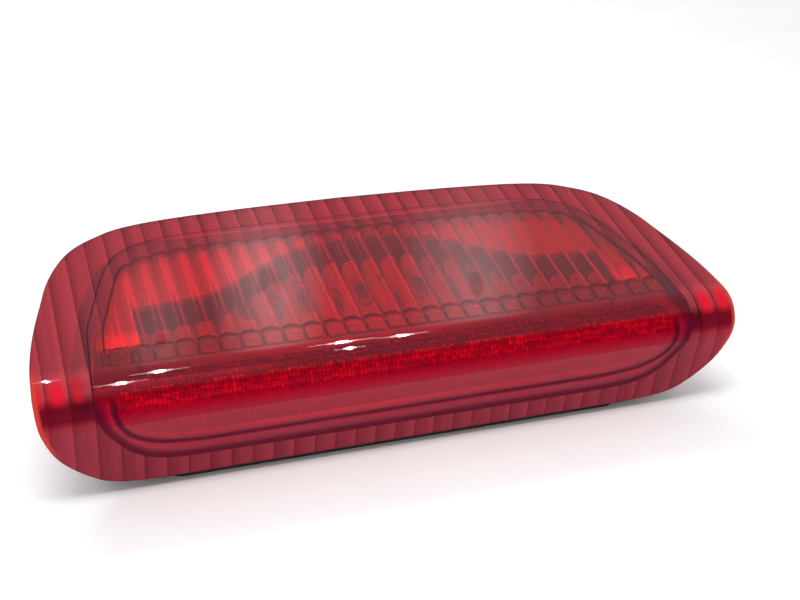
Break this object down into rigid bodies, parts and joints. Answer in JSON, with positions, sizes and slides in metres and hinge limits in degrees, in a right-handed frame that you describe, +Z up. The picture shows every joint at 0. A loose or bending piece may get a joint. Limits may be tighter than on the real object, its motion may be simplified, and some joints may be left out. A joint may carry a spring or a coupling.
{
  "type": "third brake light",
  "caption": "High-level brake lamp: red wedge lens with a fluted rim over a black housing, bulbs on a rear carrier held by swing latches.",
  "frame": {"origin": "middle of the lamp's footprint, on the base it stands on", "axes": "+X along the lamp, +Y from the lit lower face towards the rear, +Z up from the base"},
  "size_m": [0.33, 0.1238, 0.086],
  "materials": {
    "red_lens": "smooth translucent red acrylic, fluted inside",
    "red_optic": "translucent red prism sheet",
    "mirror": "vacuum-metallised plastic",
    "black_plastic": "fine moulded grain",
    "grey_plastic": "satin moulded nylon",
    "rubber": "closed-cell foam rubber",
    "bulb_glass": "clear glass",
    "filament": "drawn wire",
    "brass": "stamped strip",
    "steel": "zinc-plated"
  },
  "bodies": {
    "lamp": {"outer_lens": "red_lens", "inner_optic": "red_optic", "bezel": "mirror", "bulb_shroud": "black_plastic", "reflector": "mirror", "housing": "black_plastic", "base_gasket": "rubber", "vent_cap": "grey_plastic", "bulb_carrier": "grey_plastic", "carrier_seal": "rubber", "contact_strip_feed": "brass", "contact_strip_ground": "brass", "connector_shell": "black_plastic", "terminal_feed": "brass", "terminal_ground": "brass", "bulb_glass_1": "bulb_glass", "bulb_glass_2": "bulb_glass", "bulb_glass_3": "bulb_glass", "bulb_glass_4": "bulb_glass", "bulb_glass_5": "bulb_glass", "bulb_filament_1": "filament", "bulb_filament_2": "filament", "bulb_filament_3": "filament", "bulb_filament_4": "filament", "bulb_filament_5": "filament", "mount_insert_left": "brass", "mount_insert_right": "brass", "reflector_screw_left": "steel", "reflector_screw_right": "steel", "latch_pin_left": "steel", "latch_pin_right": "steel"},
    "latch_left": {"latch_left": "grey_plastic"},
    "latch_right": {"latch_right": "grey_plastic"}
  },
  "joints": [
    {"name": "latch_left_swing", "type": "hinge", "parent": "lamp", "child": "latch_left", "pos_m": [-0.095, 0.04886, 0.043], "axis": [0, 0, 1], "range_deg": [0, 90]},
    {"name": "latch_right_swing", "type": "hinge", "parent": "lamp", "child": "latch_right", "pos_m": [0.095, 0.04886, 0.043], "axis": [0, 0, -1], "range_deg": [0, 90]}
  ]
}
